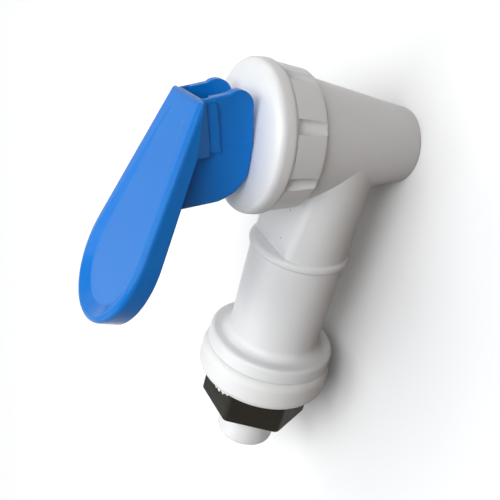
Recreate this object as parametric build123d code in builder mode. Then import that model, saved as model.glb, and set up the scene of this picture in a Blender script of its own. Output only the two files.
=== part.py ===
# Dispenser tap: a moulded body with a downward spout, clamped through a panel at its inlet,
# and a valve that a swivelling thumb lever lifts off its seat against a spring.
# The origin lies on the inlet axis at the face that meets the panel, +Y runs into the panel,
# and +Z runs up the barrel to the lever.

import os
from math import asin, atan2, cos, hypot, radians, sin, tan

from build123d import *

os.makedirs("parts", exist_ok=True)

# Driving dimensions, in millimetres and degrees

# Where the axes lie
reach = 69.9              # panel face to the barrel's axis
spout_drop = 19.7         # inlet axis down to the spout's end
shoulder_rise = 10.6      # inlet axis up to the shoulder under the bonnet

# Barrel and spout
outlet_r = 9.3            # outer radius at the spout's end
outlet_round = 0.5        # rounding of the spout's end
shoulder_r = 15.0         # outer radius at the shoulder
neck_r = 13.4             # radius of the neck that the bonnet screws on
neck_length = 10.4
neck_wall = 2.2
chamber_drop = 7.3        # inlet axis down to the floor of the valve chamber
chamber_floor_r = 9.2
floor_wall = 2.2          # floor between the chamber and the spout's bore
spout_bore_r = 7.0
throat_r = 5.4            # hole through the floor
seat_lip = 1.5            # width of the valve seat round the hole
seat_rise = 1.6           # height of the valve seat above the floor

# Inlet branch
branch_root_r = 12.7      # at the barrel's axis
branch_end_r = 12.05      # at the collar
branch_flat_z = 9.15      # flat on top of the branch, at the bead
branch_flat_fall = 2.6    # its slope down to the barrel, clear of the bonnet
branch_flat_lean = 3.2    # its slope across the branch
branch_flat_round = 3.0   # rounding along its two edges
bead_from_axis = 28.3     # barrel's axis to the near side of the bead
bead_width = 2.4
bead_r = 13.15
bead_round = 1.0
collar_r = 16.8
collar_thick = 3.9
collar_flare = 2.2        # fillet from the branch on to the collar
collar_round = 1.0
shank_r = 8.33            # outside of the thread
shank_length = 21.4       # panel face to the inlet's end
nose_r = 7.85             # nose where the thread runs out
nose_length = 11.0
nose_round = 1.6
inlet_bore_r = 5.6
inlet_bore_depth = 26.0   # from the inlet's end to the step
waterway_r = 5.0          # beyond the step

# Panel washer and nut
washer_r = 17.6
washer_thick = 8.5
washer_round = 2.4
washer_clearance = 0.8    # round the thread
washer_lift = 0.4         # how far the loose washer has been pushed up
washer_aside = -0.4       # and to one side
nut_across_flats = 25.6
nut_thick = 10.1
nut_corner_round = 1.8
nut_edge_round = 0.4
nut_turn = 3.0            # how far the nut's flats are turned
thread_clearance = 0.05   # between screwed pieces

# Bonnet
bonnet_roof = 2.0
flange_r = 18.0
flange_thick = 5.4
flange_front_round = 2.4
flange_rear_round = 1.4
skirt_front_r = 17.4      # the skirt under the flange narrows to the shoulder
skirt_rear_r = 16.3
skirt_round = 0.9         # rounding of its lower edge
grip_count = 8
grip_r = 1.75             # hollow of each grip scallop
grip_floor_r = 15.65      # bottom of the scallops, from the barrel's axis
grip_turn = -148.0        # direction of one scallop round the barrel

# Valve: stem, seat cup, spring and washer
stem_r = 3.0
stem_clearance = 0.1      # between the stem and the bonnet's hole
foot_r = 4.4              # mushroom foot held in the seat cup
foot_thick = 1.8
foot_neck_r = 3.0
collar_seat_r = 5.3       # collar that the spring stands on
collar_seat_thick = 1.6
cup_wall = 1.5
cup_sole = 2.0            # rubber between the foot and the seat
cup_lip = 1.8             # rubber over the foot
cup_gap = 0.15            # between the stem and the rubber
cup_r = 7.6               # outside of the cup's plug
cup_flange = 1.2          # thickness clamped under the bonnet
cup_bend_rise = 8.0       # inlet axis up to where the cup starts to widen
cup_mouth_r = 10.4
spring_wire = 0.9
spring_r = 4.3            # middle of the wire
spring_turns = 6.5
spring_gap = 0.05
spring_washer_r = 6.2
spring_washer_thick = 0.7
spring_washer_clearance = 0.25

# Lever
lever_turn = 10.5         # turned this far from the inlet's direction
pin_height = 5.3          # bonnet face up to the rocking axis
press_lift = 6.0          # stem lift for each radian of travel
heel_gap = 0.12           # between the heel and the bonnet face
heel_relief = 0.3         # step at the start of the heel's flat
heel_start = 0.3          # where that step lies, forward of the rocking axis
heel_roll = 77.0          # angle of the heel's curve
heel_steps = 6            # spans of that curve
lobe_drop = 3.85          # lowest point of the rear lobe below the rocking axis
lobe_low_back = 8.0       # where that point lies, behind the axis
lobe_far_back = 11.5      # rearmost point of the lobe, level with the rocking axis
lobe_top_back = 10.4      # where the lobe meets the straight rear edge
lobe_top_rise = 2.4
cheek_outer = 7.4         # half width over the cheeks
cheek_wall = 2.4
cheek_round = 0.7
lobe_inset = 0.12         # how far the rear lobe's outer face is set in
peg_r = 1.9
peg_depth = 1.5           # depth of the peg's socket in the cheek
peg_clearance = 0.08
head_r = 3.9
head_clearance = 0.3      # between the stem's head and each cheek

# Paddle
paddle_slope = 18.8
paddle_rear = 8.9         # rear edge, behind the rocking axis
paddle_rise = 9.5         # rear edge above the rocking axis
paddle_length = 56.0
paddle_end_r = 16.5
paddle_back_half = 8.7    # half width at the rear edge
wall_depth = 3.5          # depth of the side wall at the rear edge
wall_gain = 2.4           # slope of its lower edge, so that it deepens to the round end
tip_rake = 1.0            # how far it slopes in at the round end
paddle_wall = 1.3         # thickness of the plate
paddle_rim = 2.3          # thickness of the side wall
paddle_rim_round = 1.4
dish_depth = 1.7          # at the round end
dish_start = 3.0          # where the dish starts, from the rear edge
dish_inset = 4.6          # edge of the dish's floor, in from the rim
dish_draft = 62.0         # slope of the dish's side, from the square
dish_over = 0.4           # how far the cut runs out above the rim
gusset_length = 12.2      # shoulder between the paddle and the cheeks, from the rear edge
gusset_drop = 1.2         # its lower edge below the paddle's rear edge
gusset_fall = 13.8        # slope of that edge
gusset_half = 8.5
step_length = 11.4        # second, narrower shoulder
step_drop = 2.8           # its lower edge below the first
step_half = 7.95
shoulder_wall = 1.9
shoulder_inset = 0.4      # keeps the shoulders inside the paddle's rounded rim
shoulder_setback = 0.6    # and inside its rear edge

# Levels and places that follow from them
outlet_z = -spout_drop
shoulder_z = shoulder_rise
neck_top_z = shoulder_z + neck_length
ceiling_z = neck_top_z + cup_flange
bonnet_face_z = ceiling_z + bonnet_roof
flange_rear_z = bonnet_face_z - flange_thick
floor_z = -chamber_drop
seat_z = floor_z + seat_rise
spout_bore_top = floor_z - floor_wall
pin_z = bonnet_face_z + pin_height
collar_back_y = -washer_thick
collar_front_y = collar_back_y - collar_thick
bead_y = bead_from_axis - reach
bonnet_bore_r = neck_r + thread_clearance
stem_hole_r = stem_r + stem_clearance
cheek_inner = cheek_outer - cheek_wall
head_half = cheek_inner - head_clearance
foot_z = seat_z + cup_sole
foot_top_z = foot_z + foot_thick
collar_seat_z = foot_top_z + cup_lip + 2 * cup_gap
collar_seat_top = collar_seat_z + collar_seat_thick
spring_washer_z = ceiling_z - spring_washer_thick

barrel_axis = Axis((0, -reach, 0), (0, 0, 1))
barrel_plane = Plane(origin=(0, -reach, 0), x_dir=(1, 0, 0), z_dir=(0, -1, 0))
flat_turn = (branch_flat_fall, -branch_flat_lean, 0)
flat_plane = Plane(origin=(0, bead_y, branch_flat_z)).rotated(flat_turn)

# Directions of the lever: forward along it, and across it
turn = radians(lever_turn)
slope = radians(paddle_slope)
forward = Vector(-sin(turn), cos(turn), 0)
across = Vector(cos(turn), sin(turn), 0)
up = Vector(0, 0, 1)
rocking_point = Vector(0, -reach, pin_z)
side_plane = Plane(origin=rocking_point, x_dir=forward, z_dir=across)
paddle_corner = rocking_point - forward * paddle_rear + up * paddle_rise
paddle_along = forward * cos(slope) + up * sin(slope)
paddle_plane = Plane(
    origin=paddle_corner,
    x_dir=paddle_along,
    z_dir=up * cos(slope) - forward * sin(slope),
)
# how fast the paddle widens, along the line from its rear corner that touches the end circle
end_centre = paddle_length - paddle_end_r
corner_distance = hypot(end_centre, paddle_back_half)
flare_angle = asin(paddle_end_r / corner_distance) - atan2(paddle_back_half, end_centre)
paddle_flare = tan(flare_angle)
# lower edge of the paddle's side wall, which falls away from the face and is set in at the round end
wall_angle = slope - radians(wall_gain)
wall_plane = Plane(
    origin=paddle_corner - paddle_plane.z_dir * wall_depth,
    x_dir=forward * cos(wall_angle) + up * sin(wall_angle),
    z_dir=up * cos(wall_angle) - forward * sin(wall_angle),
)
wall_centre = end_centre - tip_rake
wall_end_r = paddle_end_r - tip_rake * sin(flare_angle)
# floor of the dish, which sinks below the rim towards the round end, and the hollow behind it
dish_angle = slope - dish_depth / (paddle_length - dish_start)
dish_plane = Plane(
    origin=paddle_corner + paddle_along * dish_start,
    x_dir=forward * cos(dish_angle) + up * sin(dish_angle),
    z_dir=up * cos(dish_angle) - forward * sin(dish_angle),
)
hollow_plane = dish_plane.offset(-paddle_wall)
hollow_rear = -dish_start - paddle_wall


# Body: barrel, spout, branch, collar and threaded shank, moulded in one

with BuildPart() as tap_body:
    # branch with the collar and the shank, turned about the inlet axis
    with BuildSketch(Plane.YZ) as branch_profile:
        with BuildLine():
            Polyline(
                (collar_front_y - collar_flare, branch_end_r),
                (-reach, branch_root_r),
                (-reach, 0),
                (shank_length, 0),
                (shank_length, nose_r - nose_round),
            )
            CenterArc((shank_length - nose_round, nose_r - nose_round), nose_round, 0, 90)
            Polyline(
                (shank_length - nose_round, nose_r),
                (shank_length - nose_length, nose_r),
                (shank_length - nose_length, shank_r),
                (collar_back_y, shank_r),
                (collar_back_y, collar_r),
                (collar_front_y + collar_round, collar_r),
            )
            CenterArc(
                (collar_front_y + collar_round, collar_r - collar_round), collar_round, 90, 90
            )
            Line(
                (collar_front_y, collar_r - collar_round),
                (collar_front_y, branch_end_r + collar_flare),
            )
            CenterArc(
                (collar_front_y - collar_flare, branch_end_r + collar_flare), collar_flare, 270, 90
            )
        make_face()
    revolve(axis=Axis.Y)
    # flat on the top of the branch, from the barrel to the bead
    with BuildSketch(flat_plane) as flat_outline:
        with Locations((0, bead_width / 2)):
            Rectangle(4 * branch_root_r, reach, align=(Align.CENTER, Align.MAX))
    extrude(amount=branch_root_r, mode=Mode.SUBTRACT)
    branch_flat = tap_body.faces().filter_by(flat_plane)[0]
    fillet(branch_flat.edges().sort_by(SortBy.LENGTH)[-2:], branch_flat_round)
    # bead round the branch
    with BuildSketch(Plane.YZ) as bead_profile:
        with Locations((bead_y + bead_width / 2, bead_r / 2)):
            Rectangle(bead_width, bead_r)
        fillet(bead_profile.vertices().group_by(Axis.Y)[-1], bead_round)
    revolve(axis=Axis.Y)
    # barrel and neck
    with BuildSketch(barrel_plane) as barrel_profile:
        with BuildLine():
            Polyline(
                (0, outlet_z),
                (outlet_r, outlet_z),
                (shoulder_r, shoulder_z),
                (neck_r, shoulder_z),
                (neck_r, neck_top_z),
                (0, neck_top_z),
                close=True,
            )
        make_face()
    revolve(axis=barrel_axis)
    # valve chamber with its raised seat, and the spout's bore
    with BuildSketch(barrel_plane) as chamber_profile:
        with BuildLine():
            Polyline(
                (0, neck_top_z),
                (neck_r - neck_wall, neck_top_z),
                (chamber_floor_r, floor_z),
                (throat_r + seat_lip, floor_z),
                (throat_r + seat_lip, seat_z),
                (throat_r, seat_z),
                (throat_r, spout_bore_top),
                (spout_bore_r, spout_bore_top),
                (spout_bore_r, outlet_z),
                (0, outlet_z),
                close=True,
            )
        make_face()
    revolve(axis=barrel_axis, mode=Mode.SUBTRACT)
    # waterway from the inlet's end into the chamber, narrower beyond the shank
    with BuildSketch(Plane.XZ.offset(-shank_length)) as inlet_mouth:
        Circle(inlet_bore_r)
    extrude(amount=inlet_bore_depth, mode=Mode.SUBTRACT)
    with BuildSketch(Plane.XZ.offset(-shank_length)) as waterway:
        Circle(waterway_r)
    extrude(amount=shank_length + reach - chamber_floor_r + seat_lip, mode=Mode.SUBTRACT)
    # rounded mouth of the spout
    mouth = tap_body.edges().filter_by(GeomType.CIRCLE).group_by(Axis.Z)[0]
    fillet(mouth, outlet_round)

tap_body.part.label = "tap_body"
export_step(tap_body.part, "parts/tap_body.step")


# Bonnet: screwed cap with a round-rimmed flange and a tapered skirt with grip scallops

with BuildPart() as bonnet_cap:
    # skirt and roof
    with BuildSketch(barrel_plane) as skirt_profile:
        with BuildLine():
            Polyline(
                (stem_hole_r, bonnet_face_z),
                (stem_hole_r, ceiling_z),
                (bonnet_bore_r, ceiling_z),
                (bonnet_bore_r, shoulder_z),
                (skirt_rear_r, shoulder_z),
                (skirt_front_r, flange_rear_z),
                (skirt_front_r, bonnet_face_z),
                close=True,
            )
        make_face()
        fillet(skirt_profile.vertices().group_by(Axis.Y)[0].sort_by(Axis.X)[-1], skirt_round)
    revolve(axis=barrel_axis)
    with BuildSketch(Plane(origin=(0, -reach, shoulder_z))) as grip_outline:
        with PolarLocations(grip_floor_r + grip_r, grip_count, start_angle=grip_turn):
            Circle(grip_r)
    extrude(amount=flange_rear_z - shoulder_z, mode=Mode.SUBTRACT)
    # round-rimmed flange
    with BuildSketch(barrel_plane) as flange_profile:
        with BuildLine():
            Polyline(
                (bonnet_bore_r, flange_rear_z),
                (flange_r, flange_rear_z),
                (flange_r, bonnet_face_z),
                (bonnet_bore_r, bonnet_face_z),
                close=True,
            )
        make_face()
        rim = flange_profile.vertices().group_by(Axis.X)[-1].sort_by(Axis.Y)
        fillet(rim[0], flange_rear_round)
        rim = flange_profile.vertices().group_by(Axis.Y)[-1].sort_by(Axis.X)
        fillet(rim[-1], flange_front_round)
    revolve(axis=barrel_axis)

bonnet_cap.part.label = "bonnet_cap"
export_step(bonnet_cap.part, "parts/bonnet_cap.step")


# Seat cup: silicone plug on the seat, a thin wall, and a flange clamped under the bonnet

with BuildPart() as seat_cup:
    with BuildSketch(barrel_plane) as cup_profile:
        with BuildLine():
            Polyline(
                (0, seat_z),
                (cup_r, seat_z),
                (cup_r, cup_bend_rise),
                (cup_mouth_r, neck_top_z),
                (neck_r, neck_top_z),
                (neck_r, ceiling_z),
                (cup_mouth_r - cup_wall, ceiling_z),
                (cup_mouth_r - cup_wall, neck_top_z),
                (cup_r - cup_wall, cup_bend_rise),
                (cup_r - cup_wall, foot_top_z + cup_gap + cup_lip),
                (foot_neck_r + cup_gap, foot_top_z + cup_gap + cup_lip),
                (foot_neck_r + cup_gap, foot_top_z + cup_gap),
                (foot_r + cup_gap, foot_top_z + cup_gap),
                (foot_r + cup_gap, foot_z - cup_gap),
                (0, foot_z - cup_gap),
                close=True,
            )
        make_face()
    revolve(axis=barrel_axis)

seat_cup.part.label = "seat_cup"
export_step(seat_cup.part, "parts/seat_cup.step")


# Stem: mushroom foot, spring collar, rod, and a head with two pegs for the lever

with BuildPart() as stem:
    with BuildSketch(barrel_plane) as stem_profile:
        with BuildLine():
            Polyline(
                (0, foot_z),
                (foot_r, foot_z),
                (foot_r, foot_top_z),
                (foot_neck_r, foot_top_z),
                (foot_neck_r, collar_seat_z),
                (collar_seat_r, collar_seat_z),
                (collar_seat_r, collar_seat_top),
                (stem_r, collar_seat_top),
                (stem_r, pin_z),
                (0, pin_z),
                close=True,
            )
        make_face()
    revolve(axis=barrel_axis)
    with BuildSketch(side_plane) as head_outline:
        Circle(head_r)
    extrude(amount=head_half, both=True)
    with BuildSketch(side_plane) as peg_outline:
        Circle(peg_r)
    extrude(amount=cheek_inner + peg_depth - peg_clearance, both=True)

stem.part.label = "stem"
export_step(stem.part, "parts/stem.step")


# Return spring round the stem, from the collar up to the washer under the bonnet

spring_low = collar_seat_top + spring_wire / 2 + spring_gap
spring_high = spring_washer_z - spring_wire / 2 - spring_gap
spring_pitch = (spring_high - spring_low) / spring_turns

with BuildPart() as return_spring:
    with BuildLine() as coil:
        Helix(spring_pitch, spring_high - spring_low, spring_r, center=(0, -reach, spring_low))
    with BuildSketch(Plane(origin=coil.line @ 0, z_dir=coil.line % 0)) as wire:
        Circle(spring_wire / 2)
    sweep(path=coil.line, is_frenet=True)

return_spring.part.label = "return_spring"
export_step(return_spring.part, "parts/return_spring.step")


# Spring washer: turns with the stem against the bonnet's roof

with BuildPart() as spring_washer:
    with BuildSketch(Plane(origin=(0, -reach, spring_washer_z))) as spring_washer_outline:
        Circle(spring_washer_r)
        Circle(stem_r + spring_washer_clearance, mode=Mode.SUBTRACT)
    extrude(amount=spring_washer_thick)

spring_washer.part.label = "spring_washer"
export_step(spring_washer.part, "parts/spring_washer.step")


# Panel washer: thick silicone ring with a bulged rim, loose on the thread and pushed up a little

washer_centre = Vector(washer_aside, 0, washer_lift)

with BuildPart() as panel_washer:
    with BuildSketch(Plane(washer_centre, x_dir=(0, 1, 0), z_dir=(1, 0, 0))) as washer_profile:
        with Locations((-washer_thick / 2, (washer_r + shank_r + washer_clearance) / 2)):
            Rectangle(washer_thick, washer_r - shank_r - washer_clearance)
        fillet(washer_profile.vertices().group_by(Axis.Y)[-1], washer_round)
    revolve(axis=Axis(washer_centre, (0, 1, 0)))

panel_washer.part.label = "panel_washer"
export_step(panel_washer.part, "parts/panel_washer.step")


# Mounting nut: hexagon with rounded corners

with BuildPart() as mounting_nut:
    with BuildSketch(Plane.XZ) as nut_outline:
        RegularPolygon(nut_across_flats / 2, 6, major_radius=False, rotation=nut_turn)
        fillet(nut_outline.vertices(), nut_corner_round)
    extrude(amount=-nut_thick)
    fillet(mounting_nut.faces().filter_by(Axis.Y).edges(), nut_edge_round)
    with BuildSketch(Plane.XZ) as nut_bore:
        Circle(shank_r + thread_clearance)
    extrude(amount=-nut_thick, mode=Mode.SUBTRACT)

mounting_nut.part.label = "mounting_nut"
export_step(mounting_nut.part, "parts/mounting_nut.step")


# Lever: a dished paddle on two cam cheeks that roll on the bonnet face

def heel_point(angle):
    """Involute heel: its lowest point drops by press_lift for each radian of rocking."""
    support = pin_height - heel_gap + press_lift * angle
    return (
        support * sin(angle) + press_lift * cos(angle),
        -support * cos(angle) + press_lift * sin(angle),
    )


def section_plane(offset):
    """A plane across the lever, this far forward of the rocking axis."""
    return Plane(origin=rocking_point + forward * offset, x_dir=across * -1, z_dir=forward)


def gusset_edge(offset):
    """Height of the shoulder's lower edge above the rocking axis, this far forward of it."""
    return paddle_rise - gusset_drop - (offset + paddle_rear) * tan(radians(gusset_fall))


def rim_height(offset):
    """Height of the paddle's rim above the rocking axis, this far forward of it."""
    return paddle_rise + (offset + paddle_rear) * tan(slope)


def wall_edge(offset):
    """Height of the side wall's lower edge above the rocking axis, this far forward of it."""
    start = wall_depth * sin(slope) - paddle_rear
    return paddle_rise - wall_depth * cos(slope) + (offset - start) * tan(wall_angle)


def wall_half(offset, height):
    """Half width over the side walls, this far forward of the rocking axis and above it."""
    along = (offset + paddle_rear) * cos(slope) + (height - paddle_rise) * sin(slope)
    return paddle_back_half + along * paddle_flare


def shoulder_section(offset, edge):
    """Outline across the first shoulder, from its lower edge past the side wall into the plate."""
    plate = rim_height(offset) - paddle_wall / 2
    inner_half = wall_half(offset, plate) - shoulder_inset
    return [
        (-gusset_half, gusset_edge(offset)),
        (gusset_half, gusset_edge(offset)),
        (wall_half(offset, edge), edge),
        (inner_half, plate),
        (-inner_half, plate),
        (-wall_half(offset, edge), edge),
    ]


shoulder_rear = shoulder_setback - paddle_rear
heel_z = heel_gap - pin_height
heel_angles = [radians(heel_roll) * step / heel_steps for step in range(heel_steps + 1)]
heel_curve = [heel_point(angle) for angle in heel_angles]
heel_leave = Vector(cos(heel_angles[-1]), sin(heel_angles[-1]))
# the straight front edge leaves the heel along its tangent and runs up into the paddle's wall
front_low = Vector(heel_curve[-1])
front_gap = rim_height(front_low.X) - paddle_wall / cos(slope) - front_low.Y
front_high = front_low + heel_leave * (front_gap / (heel_leave.Y - heel_leave.X * tan(slope)))
# their rear edge starts in the middle of the plate, inside its rounded rim
cheek_top = (shoulder_inset - paddle_rear, rim_height(shoulder_inset - paddle_rear) - paddle_wall / 2)

with BuildPart() as cheek_block:
    with BuildSketch(side_plane) as cheek_profile:
        with BuildLine():
            Line(cheek_top, (-lobe_top_back, lobe_top_rise))
            ThreePointArc(
                (-lobe_top_back, lobe_top_rise),
                (-lobe_far_back, 0),
                (-lobe_low_back, -lobe_drop),
            )
            Polyline((-lobe_low_back, -lobe_drop), (heel_start, heel_z), heel_curve[0])
            Spline(heel_curve, tangents=[(1, 0), heel_leave])
            Polyline(front_low, front_high, cheek_top)
        make_face()
    extrude(amount=cheek_outer, both=True)
    outer_faces = cheek_block.faces().filter_by(side_plane)
    buried = cheek_block.edges().filter_by(side_plane).sort_by(Axis.Z)[-2:]
    fillet([edge for edge in outer_faces.edges() if edge not in buried], cheek_round)

with BuildPart() as lever:
    # paddle plate with a rounded rim, a dish in front and a hollow behind
    with BuildSketch(wall_plane) as wall_outline:
        with BuildLine():
            Line((0, -paddle_back_half), (0, paddle_back_half))
            CenterArc((wall_centre, 0), wall_end_r, 0, 360)
        make_hull()
    with BuildSketch(paddle_plane) as paddle_outline:
        with BuildLine():
            Line((0, -paddle_back_half), (0, paddle_back_half))
            CenterArc((end_centre, 0), paddle_end_r, 0, 360)
        make_hull()
    loft(ruled=True)
    paddle_face = lever.faces().sort_by(Axis(paddle_corner, paddle_plane.z_dir))[-1]
    fillet(paddle_face.edges(), paddle_rim_round)
    with BuildSketch(dish_plane) as dish_outline:
        with BuildLine():
            Line((0, dish_inset - paddle_back_half), (0, paddle_back_half - dish_inset))
            CenterArc((end_centre - dish_start, 0), paddle_end_r - dish_inset, 0, 360)
        make_hull()
    extrude(amount=dish_depth + dish_over, taper=-dish_draft, mode=Mode.SUBTRACT)
    with BuildSketch(hollow_plane) as hollow_outline:
        with BuildLine():
            Line(
                (hollow_rear, paddle_rim - paddle_back_half),
                (hollow_rear, paddle_back_half - paddle_rim),
            )
            CenterArc((wall_centre - dish_start, 0), wall_end_r - paddle_rim, 0, 360)
        make_hull()
    extrude(amount=-2 * wall_depth, mode=Mode.SUBTRACT)

    # side walls cut back at the rear, down to the line where the first shoulder meets them
    gusset_front = gusset_length - paddle_rear
    edge_rear = (gusset_edge(shoulder_rear) + rim_height(shoulder_rear) - paddle_wall / 2) / 2
    edge_front = wall_edge(gusset_front)
    with BuildSketch(side_plane) as cut_back:
        with BuildLine():
            Polyline(
                (-paddle_rear, edge_rear),
                (shoulder_rear, edge_rear),
                (gusset_front, edge_front),
                (gusset_front, -pin_height),
                (-paddle_rear, -pin_height),
                close=True,
            )
        make_face()
    extrude(amount=2 * paddle_back_half, both=True, mode=Mode.SUBTRACT)
    # first shoulder, lofted from the narrow rear edge to its wide front
    with BuildSketch(section_plane(shoulder_rear)) as gusset_rear_section:
        with BuildLine():
            Polyline(*shoulder_section(shoulder_rear, edge_rear), close=True)
        make_face()
    with BuildSketch(section_plane(gusset_front)) as gusset_front_section:
        with BuildLine():
            Polyline(*shoulder_section(gusset_front, edge_front), close=True)
        make_face()
    loft(ruled=True)
    # second shoulder, a step in from the first
    step_front = step_length - paddle_rear
    with BuildSketch(side_plane) as step_profile:
        with BuildLine():
            Polyline(
                (shoulder_rear, rim_height(shoulder_rear) - paddle_wall / 2),
                (shoulder_rear, gusset_edge(shoulder_rear) - step_drop),
                (step_front, gusset_edge(step_front) - step_drop),
                (step_front, gusset_edge(step_front) + shoulder_inset),
                close=True,
            )
        make_face()
    extrude(amount=step_half, both=True)
    add(cheek_block.part)
    # slot between the cheeks, open at both ends and towards the bonnet
    slot_rear = side_plane.to_local_coords(hollow_plane.from_local_coords((-lobe_far_back, 0, 0)))
    slot_front = side_plane.to_local_coords(hollow_plane.from_local_coords((2 * paddle_end_r, 0, 0)))
    with BuildSketch(side_plane) as slot_profile:
        with BuildLine():
            Polyline(
                (slot_rear.X, slot_rear.Y),
                (slot_front.X, slot_front.Y),
                (slot_front.X, -2 * pin_height),
                (slot_rear.X, -2 * pin_height),
                close=True,
            )
        make_face()
    extrude(amount=cheek_inner, both=True, mode=Mode.SUBTRACT)
    # the slot widens between the shoulders
    wide_rear = -lobe_top_back
    wide_front = step_front - shoulder_wall
    with BuildSketch(side_plane) as wide_slot_profile:
        with BuildLine():
            Polyline(
                (wide_rear, slot_rear.Y + (wide_rear - slot_rear.X) * tan(dish_angle)),
                (wide_front, slot_rear.Y + (wide_front - slot_rear.X) * tan(dish_angle)),
                (wide_front, gusset_edge(wide_front) - step_drop + shoulder_wall / 2),
                (wide_rear, gusset_edge(wide_rear) - step_drop + shoulder_wall / 2),
                close=True,
            )
        make_face()
    extrude(amount=step_half - shoulder_wall, both=True, mode=Mode.SUBTRACT)
    # shallow step on the outer faces, from the heel's start up to the shoulder
    for side in (-1, 1):
        with BuildSketch(side_plane.offset(side * (cheek_outer - lobe_inset))) as lobe_face:
            with BuildLine():
                Polyline(
                    (heel_start, -pin_height),
                    (heel_start, gusset_edge(heel_start) - step_drop),
                    (-2 * lobe_far_back, gusset_edge(-2 * lobe_far_back) - step_drop),
                    (-2 * lobe_far_back, -pin_height),
                    close=True,
                )
            make_face()
        extrude(amount=side * lobe_inset, mode=Mode.SUBTRACT)
    # sockets for the stem's pegs
    with BuildSketch(side_plane) as socket_outline:
        Circle(peg_r + peg_clearance)
    extrude(amount=cheek_inner + peg_depth, both=True, mode=Mode.SUBTRACT)
    # step at the start of the heel's flat
    with BuildSketch(side_plane) as relief_profile:
        with BuildLine():
            Polyline(
                (heel_start, heel_z),
                (heel_start, heel_z + heel_relief),
                (-lobe_low_back, -lobe_drop),
                (-lobe_low_back, heel_z),
                close=True,
            )
        make_face()
    extrude(amount=cheek_outer, both=True, mode=Mode.SUBTRACT)

lever.part.label = "lever"
export_step(lever.part, "parts/lever.step")
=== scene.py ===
# Looks of the dispenser tap: moulded finishes, the bonnet's rounded rim, the thread's last turns, the washer's
# flash, smooth copies of the spring and the cup, and a pale studio seen from the photograph's side.
# Lengths are metres, in the frame of the solids.

from math import cos, pi, radians, sin

import bpy
import numpy as np
from mathutils import Matrix, Vector


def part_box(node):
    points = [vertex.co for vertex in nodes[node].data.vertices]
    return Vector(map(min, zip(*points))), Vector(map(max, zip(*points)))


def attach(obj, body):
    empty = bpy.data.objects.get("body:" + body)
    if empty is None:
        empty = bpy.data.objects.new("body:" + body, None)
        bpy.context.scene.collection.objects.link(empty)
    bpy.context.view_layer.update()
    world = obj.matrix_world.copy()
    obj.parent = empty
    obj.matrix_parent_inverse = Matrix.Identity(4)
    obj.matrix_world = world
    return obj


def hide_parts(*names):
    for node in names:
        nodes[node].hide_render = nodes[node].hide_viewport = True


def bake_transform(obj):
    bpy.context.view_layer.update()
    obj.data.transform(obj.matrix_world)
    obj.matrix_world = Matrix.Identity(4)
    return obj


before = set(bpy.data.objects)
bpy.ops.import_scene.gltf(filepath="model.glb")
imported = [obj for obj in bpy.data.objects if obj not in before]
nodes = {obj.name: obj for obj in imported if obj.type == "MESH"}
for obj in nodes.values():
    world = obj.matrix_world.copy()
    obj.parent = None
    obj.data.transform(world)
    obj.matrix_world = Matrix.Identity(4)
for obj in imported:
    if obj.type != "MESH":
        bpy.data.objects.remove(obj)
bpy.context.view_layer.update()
MM = 0.001


# Sizes taken from the solids

spout_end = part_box("tap_body")[0].z
nut_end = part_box("mounting_nut")[1].y

washer_low, washer_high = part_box("panel_washer")
washer_radius = (washer_high.x - washer_low.x) / 2
washer_middle = (washer_low + washer_high) / 2
washer_round = 2.4 * MM        # rounding of the washer's rim

bonnet_low, bonnet_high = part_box("bonnet_cap")
bonnet_middle = (bonnet_low + bonnet_high) / 2
flange_radius = bonnet_high.x - bonnet_middle.x
flange_round = 2.4 * MM        # rounding of the flange's front edge
skirt_radius = 17.4 * MM       # where the solid's front edge still stands sharp

nose_radius = 7.85 * MM        # smooth end of the inlet, beyond the thread
thread_crest = 8.33 * MM
thread_pitch = 1.337 * MM      # 19 turns to the inch

crease = radians(35)           # edges sharper than this stay sharp on a copy of a solid


# Materials

def linear(hex_colour):
    """An sRGB hex colour as a linear colour with full opacity."""
    channels = np.array([int(hex_colour[place:place + 2], 16) for place in (1, 3, 5)]) / 255
    values = np.where(channels <= 0.04045, channels / 12.92, ((channels + 0.055) / 1.055) ** 2.4)
    return (*values.tolist(), 1.0)


def add_node(material, kind, inputs=None, **settings):
    """Adds one node: settings are its properties, inputs its socket values or the sockets they come from."""
    node = material.node_tree.nodes.new(kind)
    for name, value in settings.items():
        setattr(node, name, value)
    for socket, value in (inputs or {}).items():
        if isinstance(value, bpy.types.NodeSocket):
            material.node_tree.links.new(value, node.inputs[socket])
        else:
            node.inputs[socket].default_value = value
    return node


def new_material(name):
    """An empty node material and its Object coordinates."""
    material = bpy.data.materials.new(name)
    material.use_nodes = True
    material.node_tree.nodes.clear()
    place = add_node(material, "ShaderNodeTexCoord").outputs["Object"]
    return material, place


def finish_surface(material, **inputs):
    """Closes a material with one principled shader; underscores in the names stand for spaces."""
    named = {name.replace("_", " "): value for name, value in inputs.items()}
    shader = add_node(material, "ShaderNodeBsdfPrincipled", named)
    add_node(material, "ShaderNodeOutputMaterial", {"Surface": shader.outputs["BSDF"]})
    return material


def per_metre(millimetres):
    """The texture scale whose features are this many millimetres across."""
    return 1 / (millimetres * MM)


def tone(material, place, size_mm, dark, light):
    """Two close tones, blended by noise of this feature size."""
    noise = add_node(material, "ShaderNodeTexNoise", {"Vector": place, "Scale": per_metre(size_mm), "Detail": 3.0})
    blend = add_node(material, "ShaderNodeMix", {"Factor": noise.outputs["Fac"]}, data_type="RGBA")
    blend.inputs["A"].default_value = linear(dark)
    blend.inputs["B"].default_value = linear(light)
    return blend.outputs["Result"]


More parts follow.
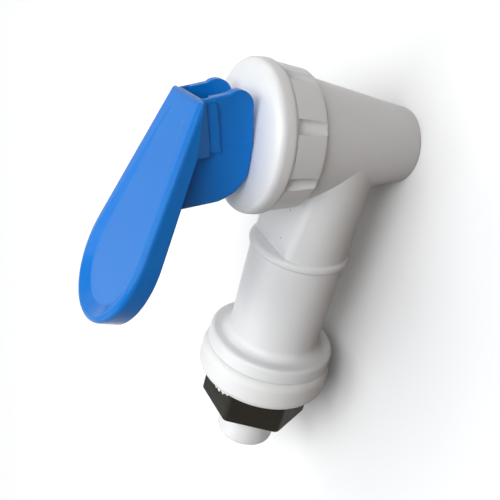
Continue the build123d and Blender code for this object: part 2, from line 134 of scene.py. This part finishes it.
def specked(material, place, colour, spacing_mm, size_mm, share, speck):
    """A colour with sparse round specks: one to a cell, in this share of the cells."""
    cells = add_node(material, "ShaderNodeTexVoronoi", {"Vector": place, "Scale": per_metre(spacing_mm)})
    near = add_node(material, "ShaderNodeMapRange", {
        "Value": cells.outputs["Distance"],
        "From Min": 0.35 * size_mm / spacing_mm, "From Max": 0.65 * size_mm / spacing_mm,
        "To Min": 1.0, "To Max": 0.0})
    chance = add_node(material, "ShaderNodeSeparateColor", {"Color": cells.outputs["Color"]})
    chosen = add_node(material, "ShaderNodeMath", {0: chance.outputs["Red"], 1: share}, operation="LESS_THAN")
    mask = add_node(material, "ShaderNodeMath", {0: near.outputs["Result"], 1: chosen.outputs["Value"]},
                    operation="MULTIPLY")
    blend = add_node(material, "ShaderNodeMix", {"Factor": mask.outputs["Value"]}, data_type="RGBA")
    material.node_tree.links.new(colour, blend.inputs["A"])
    blend.inputs["B"].default_value = linear(speck)
    return blend.outputs["Result"]


def spot(material, place, colour, at_mm, size_mm, speck):
    """A colour with one round speck at this point."""
    away = add_node(material, "ShaderNodeVectorMath", {0: place, 1: Vector(at_mm) * MM}, operation="DISTANCE")
    near = add_node(material, "ShaderNodeMapRange", {
        "Value": away.outputs["Value"], "From Min": 0.3 * size_mm * MM, "From Max": 0.6 * size_mm * MM,
        "To Min": 1.0, "To Max": 0.0})
    blend = add_node(material, "ShaderNodeMix", {"Factor": near.outputs["Result"]}, data_type="RGBA")
    material.node_tree.links.new(colour, blend.inputs["A"])
    blend.inputs["B"].default_value = linear(speck)
    return blend.outputs["Result"]


def uneven(material, place, size_mm, low, high):
    """A roughness that wanders between two values over this feature size."""
    noise = add_node(material, "ShaderNodeTexNoise", {"Vector": place, "Scale": per_metre(size_mm), "Detail": 4.0})
    spread = add_node(material, "ShaderNodeMapRange", {
        "Value": noise.outputs["Fac"], "From Min": 0.3, "From Max": 0.7, "To Min": low, "To Max": high})
    return spread.outputs["Result"]


def skin(material, place, size_mm, depth_mm, round_mm):
    """A surface normal with fine moulded waviness over edges that are softened by a small radius."""
    soft = add_node(material, "ShaderNodeBevel", {"Radius": round_mm * MM}, samples=6)
    noise = add_node(material, "ShaderNodeTexNoise", {"Vector": place, "Scale": per_metre(size_mm), "Detail": 2.0})
    bump = add_node(material, "ShaderNodeBump", {
        "Height": noise.outputs["Fac"], "Distance": depth_mm * MM, "Normal": soft.outputs["Normal"]})
    return bump.outputs["Normal"]


def white_abs():
    """White ABS, injection moulded: slightly translucent, satin gloss, with tiny dark specks in the granulate."""
    material, place = new_material("white_abs_moulded")
    colour = tone(material, place, 18.0, "#eceded", "#f2f3f4")
    colour = specked(material, place, colour, 7.0, 0.3, 0.2, "#9a958e")
    for at_mm in ((-4.3, -53.0, 8.4), (-4.2, -45.1, 8.8)):
        colour = spot(material, place, colour, at_mm, 0.4, "#8a847c")
    return finish_surface(
        material, Base_Color=colour, Roughness=uneven(material, place, 6.0, 0.3, 0.4), IOR=1.53,
        Normal=skin(material, place, 1.6, 0.012, 0.3),
        Subsurface_Weight=0.18, Subsurface_Radius=(1.0, 0.85, 0.75), Subsurface_Scale=1.2 * MM)


def blue_abs():
    """Blue ABS, injection moulded in a polished tool: glossy, with faint flow marks along the paddle."""
    material, place = new_material("blue_abs_polished")
    colour = tone(material, place, 14.0, "#0a76d2", "#107eda")
    return finish_surface(
        material, Base_Color=colour, Roughness=uneven(material, place, 5.0, 0.16, 0.22), IOR=1.53,
        Specular_IOR_Level=0.12, Normal=skin(material, place, 2.2, 0.012, 0.45))


def white_silicone():
    """White silicone rubber, compression moulded: milky, soft sheen, a few dust specks."""
    material, place = new_material("white_silicone_moulded")
    colour = tone(material, place, 12.0, "#eff0ee", "#f5f6f4")
    colour = specked(material, place, colour, 6.0, 0.3, 0.25, "#a09a90")
    return finish_surface(
        material, Base_Color=colour, Roughness=uneven(material, place, 4.0, 0.42, 0.55), IOR=1.41,
        Normal=skin(material, place, 1.2, 0.015, 0.3),
        Subsurface_Weight=0.35, Subsurface_Radius=(1.0, 0.95, 0.85), Subsurface_Scale=2.0 * MM)


def black_nylon():
    """Black nylon, moulded in an eroded tool: matt with a fine grain."""
    material, place = new_material("black_nylon_eroded")
    colour = tone(material, place, 5.0, "#1d1a14", "#262219")
    return finish_surface(
        material, Base_Color=colour, Roughness=uneven(material, place, 3.0, 0.42, 0.55), IOR=1.53,
        Specular_IOR_Level=0.12, Normal=skin(material, place, 0.5, 0.02, 0.3))


def natural_acetal():
    """Natural acetal, moulded: ivory white, waxy and low in gloss."""
    material, place = new_material("natural_acetal_moulded")
    colour = tone(material, place, 6.0, "#dedcd3", "#e8e6de")
    return finish_surface(
        material, Base_Color=colour, Roughness=uneven(material, place, 3.0, 0.38, 0.48), IOR=1.48,
        Normal=skin(material, place, 0.8, 0.01, 0.2))


def spring_wire():
    """Stainless spring wire, cold drawn: bright metal with fine die marks."""
    material, place = new_material("stainless_wire_drawn")
    colour = tone(material, place, 0.8, "#a9aaab", "#c3c4c5")
    return finish_surface(
        material, Base_Color=colour, Metallic=1.0, Roughness=uneven(material, place, 0.5, 0.22, 0.36),
        Normal=skin(material, place, 0.2, 0.004, 0.05))


body_plastic = white_abs()
silicone = white_silicone()
acetal = natural_acetal()
finishes = {
    "tap_body": body_plastic,
    "bonnet_cap": body_plastic,
    "lever": blue_abs(),
    "panel_washer": silicone,
    "seat_cup": silicone,
    "mounting_nut": black_nylon(),
    "stem": acetal,
    "spring_washer": acetal,
    "return_spring": spring_wire(),
}
for node_name, material in finishes.items():
    slots = nodes[node_name].data.materials
    slots.clear()
    slots.append(material)


# New pieces

def add_piece(name, points, faces, material):
    """A smooth-shaded mesh from points and faces, with this material."""
    mesh = bpy.data.meshes.new(name)
    mesh.from_pydata(points.tolist(), [], faces)
    mesh.polygons.foreach_set("use_smooth", np.ones(len(mesh.polygons), bool))
    mesh.materials.append(material)
    piece = bpy.data.objects.new(name, mesh)
    bpy.context.scene.collection.objects.link(piece)
    return piece


def grid_piece(name, points, material):
    """A closed skin from a grid of points: rows run along the piece, columns round it; each end is capped."""
    rows, columns, _ = points.shape
    index = np.arange(rows * columns).reshape(rows, columns)
    following = np.roll(index, -1, axis=1)
    quads = np.stack([index[:-1], following[:-1], following[1:], index[1:]], axis=-1).reshape(-1, 4)
    caps = [index[0][::-1].tolist(), index[-1].tolist()]
    piece = add_piece(name, points.reshape(-1, 3), quads.tolist() + caps, material)
    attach(piece, "tap")


def merged_copy(node_name):
    """Points and triangles of a solid's mesh, with the points that its faces share merged."""
    solid = nodes[node_name].data
    corners = np.empty(len(solid.vertices) * 3)
    solid.vertices.foreach_get("co", corners)
    triangles = np.empty(len(solid.loops), int)
    solid.loops.foreach_get("vertex_index", triangles)
    points, merged = np.unique(corners.reshape(-1, 3).round(8), axis=0, return_inverse=True)
    return points, merged.reshape(-1)[triangles].reshape(-1, 3)


def rounded_bonnet():
    """The bonnet with its sharp front edge drawn in, from a merged copy of the solid's mesh.

    A point of that edge at (skirt_radius, face) goes in to (flange_radius - flange_round, face), where the
    flange's rounding starts, and smooth shading carries the rounding on across the band that it opens.
    """
    points, triangles = merged_copy("bonnet_cap")
    middle = np.array([bonnet_middle.x, bonnet_middle.y])
    radius = np.linalg.norm(points[:, :2] - middle, axis=1)
    slack = 0.02 * MM
    edge = (points[:, 2] > bonnet_high.z - slack) & (radius > skirt_radius - slack)
    drawn_in = (flange_radius - flange_round) / radius[edge]
    points[edge, :2] = middle + (points[edge, :2] - middle) * drawn_in[:, None]
    bonnet = add_piece("bonnet_rounded", points, triangles.tolist(), body_plastic)
    bonnet.data.set_sharp_from_angle(angle=crease)
    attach(bonnet, "tap")
    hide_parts("bonnet_cap")


def flexing(node_name):
    """An elastic piece, shown as a merged copy of its solid in the solid's place.

    It is round about the stem's axis.
    """
    points, triangles = merged_copy(node_name)
    piece = add_piece(node_name + "_flexing", points, triangles.tolist(), finishes[node_name])
    piece.data.set_sharp_from_angle(angle=crease)
    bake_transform(piece)
    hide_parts(node_name)


def ridge_grid(steps, around):
    """Parameters of a ridge: s from 0 to 1 along it as a column, t round its section as a row."""
    return np.linspace(0, 1, steps)[:, None], np.linspace(0, 2 * pi, around, endpoint=False)[None, :]


def thread_turns():
    """Last turns of the inlet's thread, a right-hand helical ridge that sinks into the smooth end.

    angle = 2 pi turns s, r = foot + (crest(s) - foot)(1 + sin t) / 2,
    P = (r sin angle, start + pitch turns s + width / 2 cos t, r cos angle)
    """
    turns = 4.0
    width = 0.95 * thread_pitch
    foot = nose_radius - 0.15 * MM  # sunk a little below the smooth end
    run_out = 1.6                   # the crest starts to sink at s = 1 - 1 / run_out
    last_depth = 0.1 * MM           # how far below the smooth end it stops
    s, t = ridge_grid(240, 12)
    angle = 2 * pi * turns * s
    fade = np.clip((1 - s) * run_out, 0, 1)
    crest = nose_radius + (thread_crest - nose_radius) * fade - last_depth * (1 - fade)
    r = foot + (crest - foot) * (1 + np.sin(t)) / 2
    along = nut_end + thread_pitch * turns * s + width / 2 * np.cos(t)
    points = np.stack([r * np.sin(angle), along, r * np.cos(angle)], axis=-1)
    grid_piece("thread_turns", points, body_plastic)


def washer_flash():
    """Ragged flash left on the washer's rim, a thin fin that follows the rim's rounding.

    phi runs round the washer, n = (cos psi cos phi, sin psi, cos psi sin phi) leaves the rounding and m lies
    along it: P = rim(phi) + n (height(s)(1 + sin t) / 2 - sink) + m thick / 2 cos t
    """
    phi = radians(116.5)            # middle of the flash
    spread = radians(8.0)           # to each side of it
    psi = radians(48)               # from the rim towards the nut
    height, thick, sink = 0.75 * MM, 0.4 * MM, 0.25 * MM
    s, t = ridge_grid(90, 10)
    turn = phi + spread * (2 * s - 1)
    ring = washer_radius - washer_round
    n = np.stack([cos(psi) * np.cos(turn), np.full_like(turn, sin(psi)), cos(psi) * np.sin(turn)], axis=-1)
    m = np.stack([sin(psi) * np.cos(turn), np.full_like(turn, -cos(psi)), sin(psi) * np.sin(turn)], axis=-1)
    middle = np.stack([washer_middle.x + ring * np.cos(turn), np.full_like(turn, washer_high.y - washer_round),
                       washer_middle.z + ring * np.sin(turn)], axis=-1)
    # three waves of unlike length make the torn edge
    torn = 0.5 + 0.32 * np.sin(21 * s + 0.6) + 0.2 * np.sin(47 * s + 2.1) + 0.14 * np.sin(113 * s)
    reach = sink + height * np.clip(torn, 0.05, 1) * np.sin(pi * s) ** 0.4
    points = (middle + n * (washer_round - sink + reach * (1 + np.sin(t)) / 2)[..., None]
              + m * (thick / 2 * np.cos(t))[..., None])
    grid_piece("washer_flash", points, silicone)


rounded_bonnet()
flexing("return_spring")
flexing("seat_cup")
thread_turns()
washer_flash()


# Studio

floor_size = 6.0
floor_painted_shade, floor_far = 0.84, 1.1       # painted shade under the tap, and the tone farther off, where the floor is to look white
painted_shade_from, painted_shade_to = 15 * MM, 90 * MM   # where the painted shade gives way to the far tone
fade_from, fade_to = 0.3, 0.9           # where the floor fades to plain white, so that no horizon shows
# middle of the painted shade on the floor, round where the tap's shadow falls
painted_shade_middle = Vector((-10 * MM, -30 * MM, spout_end))
lamp_distance = 2.2

floor_points = np.array([(-1, -1, 0), (1, -1, 0), (1, 1, 0), (-1, 1, 0)]) * floor_size / 2
floor_mesh = bpy.data.meshes.new("floor")
floor_mesh.from_pydata((floor_points + [0, 0, spout_end]).tolist(), [], [(0, 1, 2, 3)])
floor = bpy.data.objects.new("floor", floor_mesh)
bpy.context.scene.collection.objects.link(floor)


def background_seen(material):
    """1 for a ray that shows the background: straight to the eye, in a reflection or through glass; otherwise 0."""
    path = add_node(material, "ShaderNodeLightPath")
    seen = path.outputs["Is Camera Ray"]
    for kind in ("Is Glossy Ray", "Is Transmission Ray"):
        either = add_node(material, "ShaderNodeMath", {0: seen, 1: path.outputs[kind]}, operation="MAXIMUM")
        seen = either.outputs["Value"]
    return seen


def pale_floor():
    """White card to the eye and in reflections, with painted shade darkening it round the tap's shadow, and a warmer,
    darker card for the light that it throws back.
    """
    material, place = new_material("pale_card_with_painted_shade")
    # painted shade: the card's colour is darker near the tap, where its shadow falls, and lighter farther off
    away = add_node(material, "ShaderNodeVectorMath", {0: place, 1: painted_shade_middle}, operation="DISTANCE")
    pale = add_node(material, "ShaderNodeMapRange", {
        "Value": away.outputs["Value"], "From Min": painted_shade_from, "From Max": painted_shade_to,
        "To Min": floor_painted_shade, "To Max": floor_far})
    painted_shade_card = add_node(material, "ShaderNodeBsdfDiffuse", {"Color": pale.outputs["Result"]})
    far_card = add_node(material, "ShaderNodeEmission", {"Color": linear("#ffffff")})
    fade = add_node(material, "ShaderNodeMapRange", {
        "Value": away.outputs["Value"], "From Min": fade_from, "From Max": fade_to})
    card = add_node(material, "ShaderNodeMixShader", {
        0: fade.outputs["Result"], 1: painted_shade_card.outputs["BSDF"], 2: far_card.outputs["Emission"]})
    bounce = add_node(material, "ShaderNodeBsdfDiffuse", {"Color": linear("#625246")})
    both = add_node(material, "ShaderNodeMixShader",
                    {0: background_seen(material), 1: bounce.outputs["BSDF"], 2: card.outputs["Shader"]})
    add_node(material, "ShaderNodeOutputMaterial", {"Surface": both.outputs["Shader"]})
    return material


floor_mesh.materials.append(pale_floor())


def soft_box(name, direction, size, share, colour):
    """A square lamp in this direction, which gives a surface that faces it this share of full white."""
    toward = Vector(direction).normalized()
    lamp = bpy.data.lights.new(name, "AREA")
    lamp.shape = "SQUARE"
    lamp.size = size
    # an area lamp of power P has radiance P / (pi * area); full white needs an irradiance of pi
    lamp.energy = share * pi * pi * lamp_distance ** 2
    lamp.color = linear(colour)[:3]
    turned = toward.to_track_quat("Z", "Y").to_matrix().to_4x4()
    lamp_object = bpy.data.objects.new(name, lamp)
    lamp_object.matrix_world = Matrix.Translation(toward * lamp_distance) @ turned
    bpy.context.scene.collection.objects.link(lamp_object)


soft_box("window_lamp", (0.08, -0.12, 0.98), 1.2, 0.25, "#fdfeff")
soft_box("top_lamp", (-0.35, -0.2, 0.91), 1.5, 0.4, "#fdfeff")
soft_box("left_lamp", (-0.62, -0.48, 0.62), 1.5, 0.46, "#fdfeff")
soft_box("back_lamp", (0.0, 0.65, 0.75), 1.5, 0.22, "#ffffff")
soft_box("right_lamp", (0.65, 0.0, 0.75), 1.5, 0.1, "#ffffff")
soft_box("low_lamp", (0.5, -0.85, 0.12), 1.5, 0.3, "#ffffff")

world = bpy.data.worlds.new("studio")
world.use_nodes = True
world.node_tree.nodes.clear()
world_light = add_node(world, "ShaderNodeBackground", {
    "Color": linear("#ffffff"), "Strength": background_seen(world)})
add_node(world, "ShaderNodeOutputWorld", {"Surface": world_light.outputs["Background"]})
bpy.context.scene.world = world


# Camera: where the photograph was taken from, with the picture turned on its side

camera_at = Vector((-169.76, -144.25, 114.87)) * MM
view_along = Vector((0.7584, 0.4700, -0.4516)).normalized()
picture_up = Vector((0.5250, -0.8511, -0.0040)).normalized()
sensor_mm = 36.0
focal_mm = 64.6

camera_data = bpy.data.cameras.new("camera")
camera_data.sensor_width = sensor_mm
camera_data.lens = focal_mm
camera_data.clip_start = 10 * MM
picture_right = view_along.cross(picture_up).normalized()
picture_up = picture_right.cross(view_along)
camera = bpy.data.objects.new("camera", camera_data)
turned = Matrix((picture_right, picture_up, -view_along)).transposed().to_4x4()
camera.matrix_world = Matrix.Translation(camera_at) @ turned
bpy.context.scene.collection.objects.link(camera)
bpy.context.scene.camera = camera
bpy.context.scene.view_settings.view_transform = "Standard"
